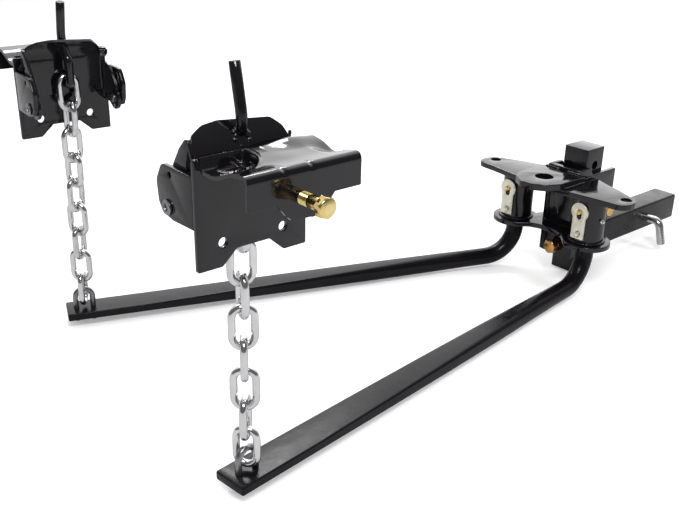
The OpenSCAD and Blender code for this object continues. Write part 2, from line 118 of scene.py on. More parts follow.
def metal(name, tones, rough, scale=22.0):
    """Plated metal: patches of tone and a fine grain."""
    mat, tree, bsdf, coord = nodes_of(name)
    big = noise_node(tree, coord, scale, 4, 0.6)
    col = ramp(tree, big.outputs[0], tones)
    tree.links.new(col.outputs[0], bsdf.inputs["Base Color"])
    bsdf.inputs["Metallic"].default_value = 1.0
    fine = noise_node(tree, coord, 300.0, 3)
    rr = ramp(tree, fine.outputs[0], [(0.3, (rough[0],)), (0.7, (rough[1],))])
    tree.links.new(rr.outputs[0], bsdf.inputs["Roughness"])
    soft = soft_edges(tree, 0.0004)
    b = bump(tree, fine.outputs[0], 0.08, 0.0008, soft.outputs[0])
    tree.links.new(b.outputs[0], bsdf.inputs["Normal"])
    return mat


BLACK = paint("powder_coat")
BAR = paint("bar_enamel", rough=(0.16, 0.28), peel=0.14, wave=0.08, spec=0.16)
PRESSED = paint("pressed_coat", rough=(0.06, 0.12), peel=0.03, wave=0.012)
SATIN = paint("satin_coat", rough=(0.24, 0.34), peel=0.10, wave=0.05, base=(0.010, 0.009, 0.010), spec=0.2)
WELD = paint("weld_coat", rough=(0.04, 0.10), peel=0.10, wave=0.35, spec=0.7)
ZINC = metal("bright_zinc_plate", [(0.25, (0.60, 0.60, 0.61)), (0.75, (0.84, 0.84, 0.83))], (0.10, 0.24))
GREY = metal("grey_zinc_plate", [(0.25, (0.20, 0.20, 0.21)), (0.75, (0.36, 0.36, 0.37))], (0.22, 0.40))
GOLD = metal("yellow_chromate",
             [(0.22, (0.62, 0.36, 0.10)), (0.45, (0.80, 0.60, 0.22)),
              (0.62, (0.86, 0.74, 0.36)), (0.80, (0.64, 0.50, 0.24))], (0.13, 0.26), scale=60.0)
COPPER = metal("amber_chromate",
               [(0.25, (0.60, 0.30, 0.08)), (0.6, (0.80, 0.50, 0.18)), (0.8, (0.70, 0.36, 0.12))],
               (0.20, 0.36), scale=60.0)
PALE = metal("pale_chromate",
             [(0.25, (0.78, 0.74, 0.58)), (0.5, (0.90, 0.88, 0.74)), (0.75, (0.80, 0.72, 0.50))],
             (0.26, 0.42), scale=70.0)


# Mesh building --------------------------------------------------------------

def finish_piece(obj, body, nodes, mat, angle=38):
    mesh = obj.data
    mesh.materials.clear()
    mesh.materials.append(mat)
    for p in mesh.polygons:
        p.use_smooth = True
    mesh.set_sharp_from_angle(angle=math.radians(angle))
    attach(obj, body)
    if nodes:
        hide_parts(*nodes)
    return obj


def to_object(name, verts, faces, matrix=None):
    mesh = bpy.data.meshes.new(name)
    m = matrix or Matrix.Identity(4)
    mesh.from_pydata([(m @ Vector(v)) * MM for v in verts], [], faces)
    mesh.validate()
    mesh.update()
    obj = bpy.data.objects.new(name, mesh)
    bpy.context.scene.collection.objects.link(obj)
    return obj


class Parts:
    """Collects verts and faces of several shells into one mesh."""

    def __init__(self):
        self.v, self.f = [], []

    def add(self, verts, faces, matrix=None):
        k = len(self.v)
        m = matrix or Matrix.Identity(4)
        self.v += [m @ Vector(p) for p in verts]
        self.f += [[i + k for i in f] for f in faces]
        return self

    def make(self, name):
        return to_object(name, self.v, self.f)


def loft(rings, closed=False, caps=True):
    n = len(rings[0])
    verts = [p for r in rings for p in r]
    faces = []
    count = len(rings)
    for i in range(count if closed else count - 1):
        a, b = i * n, ((i + 1) % count) * n
        for j in range(n):
            k = (j + 1) % n
            faces.append([a + j, a + k, b + k, b + j])
    if caps and not closed:
        faces.append(list(range(n))[::-1])
        faces.append([(count - 1) * n + j for j in range(n)])
    return verts, faces


def disc(rx, ry=None, n=24):
    ry = rx if ry is None else ry
    return [(rx * math.cos(2 * math.pi * j / n), ry * math.sin(2 * math.pi * j / n)) for j in range(n)]


def round_rect(w, t, r, k=6):
    r = min(r, w / 2, t / 2)
    pts = []
    for q, (sx, sy) in enumerate([(1, 1), (-1, 1), (-1, -1), (1, -1)]):
        for j in range(k + 1):
            a = math.pi / 2 * (q + j / k)
            pts.append((sx * (w / 2 - r) + r * math.cos(a), sy * (t / 2 - r) + r * math.sin(a)))
    return pts


def sweep(path, side, sections, closed=False, caps=True):
    """Rings of sections carried along a flat path; side is the normal of the path's plane."""
    count = len(path)
    rings = []
    for i, p in enumerate(path):
        a = path[(i - 1) % count] if closed or i else path[0]
        b = path[(i + 1) % count] if closed or i < count - 1 else path[-1]
        t = (b - a).normalized()
        other = t.cross(side).normalized()
        sec = sections[i] if isinstance(sections[0][0], (list, tuple)) else sections
        rings.append([p + side * x + other * y for x, y in sec])
    return loft(rings, closed, caps)


def rod(path, side, r, n=20, chamfer=1.0):
    """A round rod with chamfered ends."""
    d0, d1 = (path[1] - path[0]).normalized(), (path[-1] - path[-2]).normalized()
    pts = [path[0], path[0] + d0 * chamfer] + path[1:-1] + [path[-1] - d1 * chamfer, path[-1]]
    secs = [disc(r - chamfer, n=n)] + [disc(r, n=n)] * (len(pts) - 2) + [disc(r - chamfer, n=n)]
    return sweep(pts, side, secs)


def revolve(profile, n=40, matrix=None):
    """A closed ring-shaped or solid body of revolution about Z from (r, z) pairs."""
    verts, faces = [], []
    for r, z in profile:
        for j in range(n):
            a = 2 * math.pi * j / n
            verts.append(Vector((r * math.cos(a), r * math.sin(a), z)))
    m = len(profile)
    for i in range(m - 1):
        for j in range(n):
            k = (j + 1) % n
            faces.append([i * n + j, i * n + k, (i + 1) * n + k, (i + 1) * n + j])
    if profile[0] != profile[-1]:
        faces.append(list(range(n))[::-1])
        faces.append([(m - 1) * n + j for j in range(n)])
    if matrix is not None:
        verts = [matrix @ v for v in verts]
    return verts, faces


def rounded(points, k=6):
    """Polygon with each corner (x, y, radius) turned into an arc."""
    out = []
    n = len(points)
    for i, (x, y, r) in enumerate(points):
        p = Vector((x, y))
        if r <= 0:
            out.append((x, y))
            continue
        a, b = Vector(points[i - 1][:2]) - p, Vector(points[(i + 1) % n][:2]) - p
        la, lb = a.length, b.length
        a, b = a / la, b / lb
        half = math.acos(max(-1, min(1, a.dot(b)))) / 2
        if half > math.pi / 2 - 0.02:
            out.append((x, y))
            continue
        d = min(r / math.tan(half), la * 0.49, lb * 0.49)
        rr = d * math.tan(half)
        c = p + (a + b).normalized() * (rr / math.sin(half))
        s, e = p + a * d - c, p + b * d - c
        a0, a1 = math.atan2(s.y, s.x), math.atan2(e.y, e.x)
        da = (a1 - a0 + math.pi) % (2 * math.pi) - math.pi
        for j in range(k + 1):
            t = a0 + da * j / k
            out.append((c.x + rr * math.cos(t), c.y + rr * math.sin(t)))
    return out


def circle_points(x, y, r, n=36):
    return [(x + r * math.cos(2 * math.pi * j / n), y + r * math.sin(2 * math.pi * j / n)) for j in range(n)]


def area_of(pts):
    return sum(pts[i - 1][0] * pts[i][1] - pts[i][0] * pts[i - 1][1] for i in range(len(pts))) / 2


def plate(outline, holes, thick, bevel=0.8, matrix=None, steps=2):
    """Extruded outline with holes and rounded rims, from z = 0 to z = thick. Returns verts, faces."""
    cu = bpy.data.curves.new("tmp", "CURVE")
    cu.dimensions = "2D"
    cu.fill_mode = "BOTH"
    cu.extrude = (thick / 2 - bevel) * MM
    cu.bevel_depth = bevel * MM
    cu.bevel_resolution = steps
    cu.offset = -bevel * MM
    for k, ring in enumerate([outline] + holes):
        ring = list(ring)
        if (area_of(ring) > 0) != (k == 0):
            ring.reverse()
        sp = cu.splines.new("POLY")
        sp.points.add(len(ring) - 1)
        for p, q in zip(sp.points, ring):
            p.co = (q[0] * MM, q[1] * MM, 0, 1)
        sp.use_cyclic_u = True
    ob = bpy.data.objects.new("tmp", cu)
    bpy.context.scene.collection.objects.link(ob)
    dg = bpy.context.evaluated_depsgraph_get()
    mesh = bpy.data.meshes.new_from_object(ob.evaluated_get(dg))
    m = matrix or Matrix.Identity(4)
    verts = [m @ (v.co / MM + Vector((0, 0, thick / 2))) for v in mesh.vertices]
    faces = [list(p.vertices) for p in mesh.polygons]
    bpy.data.objects.remove(ob)
    bpy.data.curves.remove(cu)
    bpy.data.meshes.remove(mesh)
    return verts, faces


def clean(obj, dist=0.02):
    """Joins doubled vertices and turns the faces outward."""
    bm = bmesh.new()
    bm.from_mesh(obj.data)
    bmesh.ops.remove_doubles(bm, verts=bm.verts, dist=dist * MM)
    bmesh.ops.recalc_face_normals(bm, faces=bm.faces)
    bm.to_mesh(obj.data)
    bm.free()
    return obj


def cut(obj, *cutters):
    """Takes the cutters' volume out of obj."""
    for c in cutters:
        clean(c)
        mod = obj.modifiers.new("cut", "BOOLEAN")
        mod.operation = "DIFFERENCE"
        mod.solver = "EXACT"
        mod.object = c
        dg = bpy.context.evaluated_depsgraph_get()
        mesh = bpy.data.meshes.new_from_object(obj.evaluated_get(dg))
        obj.modifiers.clear()
        obj.data = mesh
        bpy.data.objects.remove(c)
    return obj


def tr(x=0, y=0, z=0):
    return Matrix.Translation((x, y, z))


def rot(deg, axis):
    return Matrix.Rotation(math.radians(deg), 4, axis)


# Planes: a plate's local x, y, z laid onto these directions
ON_XZ = Matrix(((1, 0, 0, 0), (0, 0, -1, 0), (0, 1, 0, 0), (0, 0, 0, 1)))  # x->x, y->z, z->-y
ON_YZ = Matrix(((0, 0, 1, 0), (1, 0, 0, 0), (0, 1, 0, 0), (0, 0, 0, 1)))  # x->y, y->z, z->x


def hex_head(af, h, seg=8):
    """Hexagon with a turned chamfer on its outer end, from z = 0 to h."""
    n = 6 * seg
    levels = [(0, 0.86), (0.25, 0.985), (0.6, 1.2), (h - 2.6, 1.2), (h - 1.9, 1.10), (h - 1.2, 1.05),
              (h - 0.6, 1.0), (h - 0.15, 0.955), (h, 0.93)]
    rings = []
    for z, cone in levels:
        ring = []
        for j in range(n):
            a = 2 * math.pi * j / n
            f = (a + math.pi / 6) % (math.pi / 3) - math.pi / 6
            r = min(af / 2 / math.cos(f), cone * af / 2)
            ring.append(Vector((r * math.cos(a), r * math.sin(a), z)))
        rings.append(ring)
    return loft(rings)


def bead(path, r, pitch=3.2, wobble=0.35, closed=False, flat=0.75):
    """A weld bead with ripples along an open or closed path."""
    pts = []
    for i in range(len(path) - (0 if closed else 1)):
        a, b = path[i], path[(i + 1) % len(path)]
        steps = max(1, int((b - a).length / 0.9))
        pts += [a.lerp(b, k / steps) for k in range(steps)]
    if not closed:
        pts.append(path[-1])
    rings, s = [], 0.0
    count = len(pts)
    for i, p in enumerate(pts):
        a = pts[i - 1] if closed or i else p
        b = pts[(i + 1) % count] if closed or i < count - 1 else p
        t = (b - a).normalized()
        side = t.cross(Z if abs(t.z) < 0.9 else X).normalized()
        up = side.cross(t)
        s += (p - a).length
        k = r * (1 + 0.16 * math.sin(2 * math.pi * s / pitch))
        if not closed:
            k *= min(1, 0.35 + min(s, 0.9 * (count - 1 - i)) / 3)
        jit = noise.noise_vector(p * 0.12) * wobble
        rings.append([p + jit + side * (x * k) + up * (y * k * flat) for x, y in disc(1, n=10)])
    return loft(rings, closed)


# Sizes of the object, in millimetres ----------------------------------------

SOCKET_X, SOCKET_Y = 34.0, 80.2
BAR_Z, BEND_R = -183.0, 58.0
U_AT, U_GAP, U_D, U_TOP = 805.0, 27.0, 9.0, -140.5
ARCH_Z = U_TOP - (U_GAP + U_D) / 2
FLAT_T = 12.7
BAR_FACE = BAR_Z + FLAT_T / 2
WIRE, LINK_IN, LINK_W, LINKS = 9.4, 40.9, 36.0, 9
STEP = LINK_IN - 0.4
CHAIN_LOW = BAR_FACE + 4 + WIRE / 2
HOOK_Z = CHAIN_LOW + LINKS * STEP + 0.4 + WIRE
PIVOT_V, PIVOT_Z = 30.0, HOOK_Z - 35
TURN = {-1: 186.5, 1: 159.7}
SIDE = {-1: "right", 1: "left"}
SHIFT = {-1: (0, 0), 1: (7, -4)}


def bar_matrix(s):
    return tr(SOCKET_X, s * SOCKET_Y, 0) @ rot(TURN[s], "Z")


def u_place(s):
    a = math.radians(TURN[s])
    return SOCKET_X + U_AT * math.cos(a), s * SOCKET_Y + U_AT * math.sin(a)


def hanger_matrix(s):
    x, y = u_place(s)
    return tr(x + SHIFT[s][0], y + SHIFT[s][1], 0) @ rot(176.3 if s > 0 else 0, "Z")


# Spring bars, U-bolts, chains -------------------------------------------------

def spring_bar(s):
    pts, secs = [], []

    def ring(x, z, w, t, r):
        pts.append(Vector((x, 0, z)))
        secs.append(round_rect(w, t, r, 8))

    d = 31.75
    ring(0, -30, d - 4, d - 4, 20)
    for z in [-32, -38.9]:
        ring(0, z, d, d, 20)
    for z in [-39, -51]:
        ring(0, z, d - 6.4, d - 6.4, 20)
    for z in [-51.1, -70, -100, -124]:
        ring(0, z, d, d, 20)
    for k in range(25):
        a = math.radians(90 * k / 24)
        ring(BEND_R - BEND_R * math.cos(a), BAR_Z + BEND_R - BEND_R * math.sin(a), d, d, 20)
    # distance along the bar, width, thickness, corner radius: round at first, a flat blade at the end
    keys = [(98, d, d, d / 2), (160, 33.2, 30.2, 13.0), (288, 38, 26, 8.5), (430, 42.5, 21, 5.2),
            (574, 46.5, 16.6, 3.4), (700, 49.6, 12.9, 2.4), (832.4, 50, FLAT_T, 2.2)]
    x = 62.0
    while x <= 832:
        k = max(i for i in range(len(keys)) if keys[i][0] <= max(x, 98.001) or i == 0)
        k = min(k, len(keys) - 2)
        t = min(1, max(0, (x - keys[k][0]) / (keys[k + 1][0] - keys[k][0])))
        w, h, r = (keys[k][i] + (keys[k + 1][i] - keys[k][i]) * t for i in (1, 2, 3))
        ring(x, BAR_Z, w, h, r)
        x += 14
    ring(832.0, BAR_Z, 50, FLAT_T, 2.2)
    ring(833.4, BAR_Z, 48.6, FLAT_T - 1.6, 1.8)
    ring(834.0, BAR_Z, 47.0, FLAT_T - 4.5, 1.2)
    v, f = sweep(pts, Y, secs)
    ob = clean(to_object(f"spring_bar_{SIDE[s]}", v, f, bar_matrix(s)))
    finish_piece(ob, f"{SIDE[s]}_bar", [f"{SIDE[s]}_spring_bar"], BAR, 30)


def u_bolt(s):
    low = BAR_FACE - FLAT_T - 11
    path = [Vector((U_GAP / 2, 0, z)) for z in (low, BAR_FACE - FLAT_T, BAR_FACE, ARCH_Z)]
    for k in range(1, 24):
        a = math.pi * k / 24
        path.append(Vector((U_GAP / 2 * math.cos(a), 0, ARCH_Z + U_GAP / 2 * math.sin(a))))
    path += [Vector((-U_GAP / 2, 0, z)) for z in (ARCH_Z, BAR_FACE, BAR_FACE - FLAT_T, low)]
    m = bar_matrix(s) @ tr(U_AT, 0, 0)
    v, f = rod(path, Y, U_D / 2, 20, 0.9)
    ob = clean(to_object(f"u_bolt_{SIDE[s]}", v, f, m))
    finish_piece(ob, f"{SIDE[s]}_bar", [f"{SIDE[s]}_u_bolt"], GREY)
    p = Parts()
    for e in (-1, 1):
        p.add(*hex_head(14, 8), m @ tr(e * U_GAP / 2, 0, BAR_FACE - FLAT_T) @ rot(180, "X"))
    ob = clean(p.make(f"u_bolt_nuts_{SIDE[s]}"))
    finish_piece(ob, f"{SIDE[s]}_bar", [f"{SIDE[s]}_u_bolt_nuts"], GREY)


def chain(s):
    p = Parts()
    x0, y0 = u_place(s)
    half = LINK_IN / 2 + WIRE - LINK_W / 2
    lr = LINK_W / 2 - WIRE / 2
    for k in range(LINKS):
        part = k / (LINKS - 1)
        angle = (-3.7 if s > 0 else 0) + 90 + (LINKS - 1 - k) * (90 + s * 6.9)
        path, secs = [], []
        for e in (1, -1):
            for j in range(17):
                a = math.pi * j / 16
                path.append(Vector((0, e * lr * math.cos(a), e * (half + lr * math.sin(a)))))
                secs.append(disc(WIRE / 2, n=18))
            for j in range(1, 8):
                t = j / 8
                z = e * half * (1 - 2 * t)
                path.append(Vector((0, -e * lr, z)))
                # the resistance weld swells the wire halfway along one side
                g = math.exp(-((z / 2.6) ** 2)) * 0.45 if e > 0 else 0
                secs.append(disc(WIRE / 2 + g - (0.25 if abs(z) < 1 and e > 0 else 0), n=18))
        middle = CHAIN_LOW + LINK_IN / 2 + WIRE / 2 + k * STEP
        m = tr(x0 + part * SHIFT[s][0], y0 + part * SHIFT[s][1], middle) @ rot(angle, "Z")
        v, f = sweep(path, X, secs, closed=True)
        p.add(v, f, m)
    ob = clean(p.make(f"lift_chain_{SIDE[s]}"))
    finish_piece(ob, f"{SIDE[s]}_chain", [f"{SIDE[s]}_chain"], ZINC, 60)


# Frame brackets ----------------------------------------------------------------

PLATE_V, PLATE_T, PLATE_W, PLATE_LOW, PLATE_HIGH = -19.0, 6.0, 140.6, 113.5, 235.5
EAR_T = 6.0
YOKE_HALF = PLATE_W / 2 - EAR_T - 1


def bracket_plate(s):
    w = PLATE_W / 2
    outline = rounded([(-w, PLATE_LOW, 2), (-40, PLATE_LOW, 2), (-21, PLATE_LOW + 17, 2),
                       (21, PLATE_LOW + 17, 2), (40, PLATE_LOW, 2), (w, PLATE_LOW, 2),
                       (w, PLATE_HIGH, 3), (-w, PLATE_HIGH, 3)])
    holes = [circle_points(e * 38.75, PLATE_LOW + 27.5, 5.5) for e in (-1, 1)]
    v, f = plate(outline, holes, PLATE_T, 0.9, hanger_matrix(s) @ tr(0, PLATE_V, 0) @ ON_XZ)
    ob = clean(to_object(f"bracket_plate_{SIDE[s]}", v, f))
    finish_piece(ob, f"{SIDE[s]}_bar", [f"{SIDE[s]}_bracket_plate"], BLACK)


def ears(s):
    side = [(PLATE_V, PIVOT_Z - 12, 1), (PLATE_V, 217, 3), (40, 217, 9), (52, 197, 14), (49, PIVOT_Z + 2, 10),
            (42, PIVOT_Z - 9, 8), (22, PIVOT_Z - 13, 10)]
    p = Parts()
    for e in (-1, 1):
        m = hanger_matrix(s) @ tr(e * (PLATE_W / 2 - EAR_T / 2) - EAR_T / 2, 0, 0) @ ON_YZ
        holes = [circle_points(24, 208, 3.5), circle_points(PIVOT_V, PIVOT_Z, 6.4)]
        p.add(*plate(rounded(side), holes, EAR_T, 0.9), m)
    ob = clean(p.make(f"ears_{SIDE[s]}"))
    finish_piece(ob, f"{SIDE[s]}_bar", [f"{SIDE[s]}_ears"], BLACK)


def pivot_pins(s):
    p = Parts()
    w = PLATE_W / 2
    prof = [(4.6, -16), (6.35, -15), (6.35, 0), (8.3, 0), (8.6, 0.4), (8.6, 2.2), (7.9, 3.0), (4.4, 3.0),
            (3.8, 1.2)]
    for e in (-1, 1):
        m = hanger_matrix(s) @ tr(e * w, PIVOT_V, PIVOT_Z) @ rot(e * 90, "Y")
        p.add(*revolve(prof, 40), m)
    ob = clean(p.make(f"pivot_pins_{SIDE[s]}"))
    finish_piece(ob, f"{SIDE[s]}_bar", [f"{SIDE[s]}_pivot_pins"], GREY)


def smooth01(t):
    t = min(1.0, max(0.0, t))
    return t * t * (3 - 2 * t)


def profile_at(points, q):
    """Catmull-Rom point at q of a polyline, q from 0 to len - 1."""
    i = min(int(q), len(points) - 2)
    t = q - i
    p0 = Vector(points[max(i - 1, 0)])
    p1, p2 = Vector(points[i]), Vector(points[i + 1])
    p3 = Vector(points[min(i + 2, len(points) - 1)])
    square, cube = 2 * p0 - 5 * p1 + 4 * p2 - p3, 3 * p1 - p0 - 3 * p2 + p3
    return 0.5 * ((2 * p1) + (p2 - p0) * t + square * t * t + cube * t ** 3)


def sheet_faces(nu, nq):
    """Faces of a pressed sheet: a grid's outer and inner skin and the four edges between them."""
    m = nq + 1
    base = (nu + 1) * m
    faces = []
    for i in range(nu):
        for j in range(nq):
            a, b, c, d = i * m + j, (i + 1) * m + j, (i + 1) * m + j + 1, i * m + j + 1
            faces += [[a, b, c, d], [base + a, base + d, base + c, base + b]]
    for i in range(nu):
        for j in (0, nq):
            a, b = i * m + j, (i + 1) * m + j
            faces.append([a, b, base + b, base + a])
    for j in range(nq):
        for i in (0, nu):
            a, b = i * m + j, i * m + j + 1
            faces.append([a, b, base + b, base + a])
    return faces


def grid_normal(grid, i, j):
    """Normal of a grid of points at row i, column j, not yet unit length."""
    across = grid[min(i + 1, len(grid) - 1)][j] - grid[max(i - 1, 0)][j]
    along = grid[i][min(j + 1, len(grid[0]) - 1)] - grid[i][max(j - 1, 0)]
    return across.cross(along)


# Side view of the saddle: distance outboard of the plate, height
SADDLE = [(0, 236.4), (5, 237.6), (12, 237.2), (20, 236.6), (32, 236), (44, 236), (55, 236.4), (66, 237.4),
          (73, 238.2), (78, 238.4), (82, 236.4), (84, 232), (84, 226), (84, 215), (84, 204)]
# How far the saddle stands ahead on its plate, its depth, sheet, and where its top and its fold end
SADDLE_SHIFT, SADDLE_D, SADDLE_SHEET, TOP_END, FOLD_END = 5, 84.0, 4.2, 11, 12


def saddle(s):
    """Pressed sheet over the frame rail: pocket at the rear, rolled outer edge, flange with a tongue."""
    nu, nq = 120, 128
    back = PLATE_V - PLATE_T
    ahead = -SADDLE_SHIFT * s
    grid = []
    for i in range(nu + 1):
        u = -PLATE_W / 2 + PLATE_W * i / nu
        au = abs(u)
        tongue = 184.0 if au < 18 else 184 + (min(au, 36) - 18) / 18 * 20
        row = []
        for j in range(nq + 1):
            q = (len(SADDLE) - 1) * j / nq
            o, z = profile_at(SADDLE, q)
            if q > FOLD_END:
                t = (q - FOLD_END) / (len(SADDLE) - 1 - FOLD_END)
                z = SADDLE[FOLD_END][1] + (tongue - SADDLE[FOLD_END][1]) * t
                o = SADDLE_D
            if q < TOP_END and u * s > 0:
                # the rear end sinks inside a curved rim, with a deeper eye next to the plate
                rim = 17 + 25 * (max(0.0, o - 14) / 44) ** 2
                across = smooth01((o - 2) / 5) * (1 - smooth01((o - 20) / 42))
                z -= 11.5 * smooth01((au - rim) / 6) * across
                lip = math.exp(-(((au - rim + 1) / 2.2) ** 2))
                z += 1.5 * lip * smooth01(o / 6) * (1 - smooth01((o - 46) / 14))
                z += 1.3 * math.exp(-(((o - 2) / 1.6) ** 2)) * smooth01((au - 16) / 5)
                eye = 1 - ((au - 38 + 0.25 * (o - 14)) / 17) ** 2 - ((o - 15) / 11) ** 2
                z -= 3.8 * smooth01((eye + 0.04) / 0.16)
                z += 1.3 * math.exp(-((eye + 0.12) / 0.09) ** 2)
            elif q < TOP_END:
                # the front end keeps a hump by the plate and dips before the fold
                z += 3.6 * math.exp(-(((au - 36) / 24) ** 2)) * (1 - smooth01((o - 6) / 26))
                z -= 6.5 * smooth01((au - 40) / 24) * math.exp(-(((o - 42) / 15) ** 2))
            # soft crown in the middle and two dents in the fold
            z += 1.4 * math.exp(-(u / 24) ** 2) * math.exp(-((o - 36) / 22) ** 2)
            for c in (-26, 8):
                z -= 1.5 * math.exp(-((u - c) / 2.4) ** 2) * math.exp(-((o - 80) / 6) ** 2)
            row.append(Vector((u + ahead, back - o, z)))
        grid.append(row)
    # inner skin from vertex normals
    top = [p for r in grid for p in r]
    nrm = []
    for i in range(nu + 1):
        for j in range(nq + 1):
            n = grid_normal(grid, i, j)
            nrm.append(n.normalized() if n.length > 1e-9 else Vector((0, 0, 1)))
    if nrm[(nq + 1) * (nu // 2) + 10].z > 0:
        nrm = [-n for n in nrm]
    under = [p + n * SADDLE_SHEET for p, n in zip(top, nrm)]
    ob = clean(to_object(f"saddle_{SIDE[s]}", top + under, sheet_faces(nu, nq), hanger_matrix(s)))
    bev = ob.modifiers.new("rim", "BEVEL")
    bev.width = 0.0009
    bev.segments = 3
    bev.limit_method = "ANGLE"
    bev.angle_limit = math.radians(55)
    finish_piece(ob, f"{SIDE[s]}_bar", [f"{SIDE[s]}_saddle"], PRESSED, 55)


# Side view of the yoke's web: distance inboard, height
YOKE_SIDE = [(-15, 178), (-15, 196), (-14.6, 212), (-12.4, 228), (-8.4, 241), (-2, 252), (6, 262)]
WEB_LOW, WEB_SHEET, WEB_TURN = 178, 4.6, 7


def yoke(s):
    """Sheet yoke: curved web with round shoulders and two cheeks on the pivot pins."""
    nu, nq = 72, 40
    hm = hanger_matrix(s)
    top_pts = rounded([(-YOKE_HALF, 150, 0), (YOKE_HALF, 150, 0), (YOKE_HALF, 226, 10), (53, 248, 10),
                       (42, 257, 10), (-22, 262, 20), (-42, 260, 20), (-56, 254, 14),
                       (-YOKE_HALF, 241, 10)], 8)

    def top_z(u):
        best = 262.4
        for i in range(len(top_pts)):
            a, b = top_pts[i - 1], top_pts[i]
            if min(a[1], b[1]) > 151 and min(a[0], b[0]) <= u <= max(a[0], b[0]) and abs(a[0] - b[0]) > 1e-6:
                t = (u - a[0]) / (b[0] - a[0])
                best = min(best, a[1] + (b[1] - a[1]) * t)
        return best

    def web_v(z):
        for k in range(len(YOKE_SIDE) - 1):
            if z <= YOKE_SIDE[k + 1][1] or k == len(YOKE_SIDE) - 2:
                lo, hi = 0.0, 1.0
                for _ in range(24):
                    mid = (lo + hi) / 2
                    if profile_at(YOKE_SIDE, k + mid)[1] < z:
                        lo = mid
                    else:
                        hi = mid
                return profile_at(YOKE_SIDE, k + lo)[0]
        return YOKE_SIDE[-1][0]

    grid = []
    for i in range(nu + 1):
        u = -YOKE_HALF + 2 * YOKE_HALF * (0.5 - 0.5 * math.cos(math.pi * i / nu))
        zt = top_z(-s * u) if 0 < i < nu else (224.0 if s * u > 0 else 239.0)
        row = []
        for j in range(nq + 1):
            z = WEB_LOW + (zt - WEB_LOW) * j / nq
            v = web_v(z)
            edge = max(0.0, abs(u) - (YOKE_HALF - WEB_TURN)) / WEB_TURN
            v += WEB_TURN * (1 - math.sqrt(max(0.0, 1 - edge * edge)))
            row.append(Vector((u, v, z)))
        grid.append(row)
    outer = [p for r in grid for p in r]
    inner = []
    for i in range(nu + 1):
        for j in range(nq + 1):
            n = grid_normal(grid, i, j).normalized()
            if n.y > 0 or (abs(n.y) < 0.05 and n.x * grid[i][j].x < 0):
                n = -n
            inner.append(grid[i][j] - n * WEB_SHEET)
    p = Parts()
    p.add(outer + inner, sheet_faces(nu, nq))
    cheek = [(-8, WEB_LOW), (PIVOT_V - 12, PIVOT_Z - 12)]
    for deg in range(-110, 61, 10):
        a = math.radians(deg)
        cheek.append((PIVOT_V + 17 * math.cos(a), PIVOT_Z + 17 * math.sin(a)))
    # the rear cheek runs up into the web's fuller shoulder
    full = cheek + [(44, 186), (27, 219), (14, 238), (3, 249), (-3, 250), (-9, 236), (-12, 220)]
    cheek += [(44, 186), (28, 210), (16, 219), (6, 222), (-4, 221), (-11, 210)]
    for e in (-1, 1):
        mm = tr(e * (YOKE_HALF - 2.5) - 2.5, 0, 0) @ ON_YZ
        p.add(*plate(rounded([(a, b, 5) for a, b in (full if e == s else cheek)], 3), [], 5, 0.9), mm)
    ob = clean(to_object(f"yoke_{SIDE[s]}", p.v, p.f, hm))
    finish_piece(ob, f"{SIDE[s]}_yoke", [f"{SIDE[s]}_yoke"], BLACK, 45)


def arc(v, z, r, start, stop, n=8):
    """Points of an arc in the plane across the rail."""
    return [Vector((0, v + r * math.cos(math.radians(start + (stop - start) * k / n)),
                    z + r * math.sin(math.radians(start + (stop - start) * k / n)))) for k in range(n + 1)]


# Lever rod: half its width, its hook, the jog through the web (start, radius, turn), and the handle's bend
ROD_R, HOOK_R, JOG_Z, JOG_R, JOG_TURN, GRIP_V, GRIP_R, GRIP_LEAN = 6.35, 7, 227, 12, 40, -7.0, 60, 11
GRIP_L = {-1: 48, 1: 41}


def lever(s):
    in_v = WIRE / 2 + 0.8 + ROD_R
    low = HOOK_Z - in_v
    turn, lean = math.radians(JOG_TURN), math.radians(GRIP_LEAN)
    step_v, step_z = JOG_R * (1 - math.cos(turn)), JOG_R * math.sin(turn)
    jog = (in_v - GRIP_V - 2 * step_v) / math.tan(turn)
    grip_z = JOG_Z + 2 * step_z + jog
    path = [Vector((0, -8, low)), Vector((0, 2, low))]
    path += arc(in_v - HOOK_R, low + HOOK_R, HOOK_R, -80, 0)
    path += arc(in_v - JOG_R, JOG_Z, JOG_R, 0, JOG_TURN)
    path += arc(GRIP_V + JOG_R, grip_z, JOG_R, 180 + JOG_TURN, 180)
    path += arc(GRIP_V + GRIP_R, grip_z + 4, GRIP_R, 180, 180 - GRIP_LEAN, 6)
    up = Vector((0, math.sin(lean), math.cos(lean)))
    path += [path[-1] + up * (GRIP_L[s] / 2), path[-1] + up * GRIP_L[s]]
    v, f = rod(path, X, ROD_R, 24, 0.8)
    ob = clean(to_object(f"lever_{SIDE[s]}", v, f, hanger_matrix(s)))
    finish_piece(ob, f"{SIDE[s]}_yoke", [f"{SIDE[s]}_lever"], BLACK, 45)
    # weld blobs at the foot of the handle, on the outer and inner face of the web
    w = Parts()
    rnd = random.Random(5 + s)
    for k in range(26):
        a = 2 * math.pi * rnd.random()
        r = 6.2 + 3.2 * rnd.random()
        v = GRIP_V + 1.5 * rnd.random() + 0.35 * r * math.sin(a)
        c = Vector((r * math.cos(a) * 1.1, v, 244 + r * 1.1 * math.sin(a)))
        g = 1.8 + 1.6 * rnd.random()
        turns = [math.radians(t) for t in range(-90, 91, 22)]
        prof = [(g * math.cos(t) + 0.01, g * 0.8 * math.sin(t)) for t in turns]
        w.add(*revolve(prof, 10), tr(*c) @ rot(rnd.random() * 90, "X"))
    ob = clean(to_object(f"lever_weld_{SIDE[s]}", w.v, w.f, hanger_matrix(s)))
    finish_piece(ob, f"{SIDE[s]}_yoke", [], WELD, 70)


SET_Z, SET_AF, SET_STAND = 206, 20.6, 30


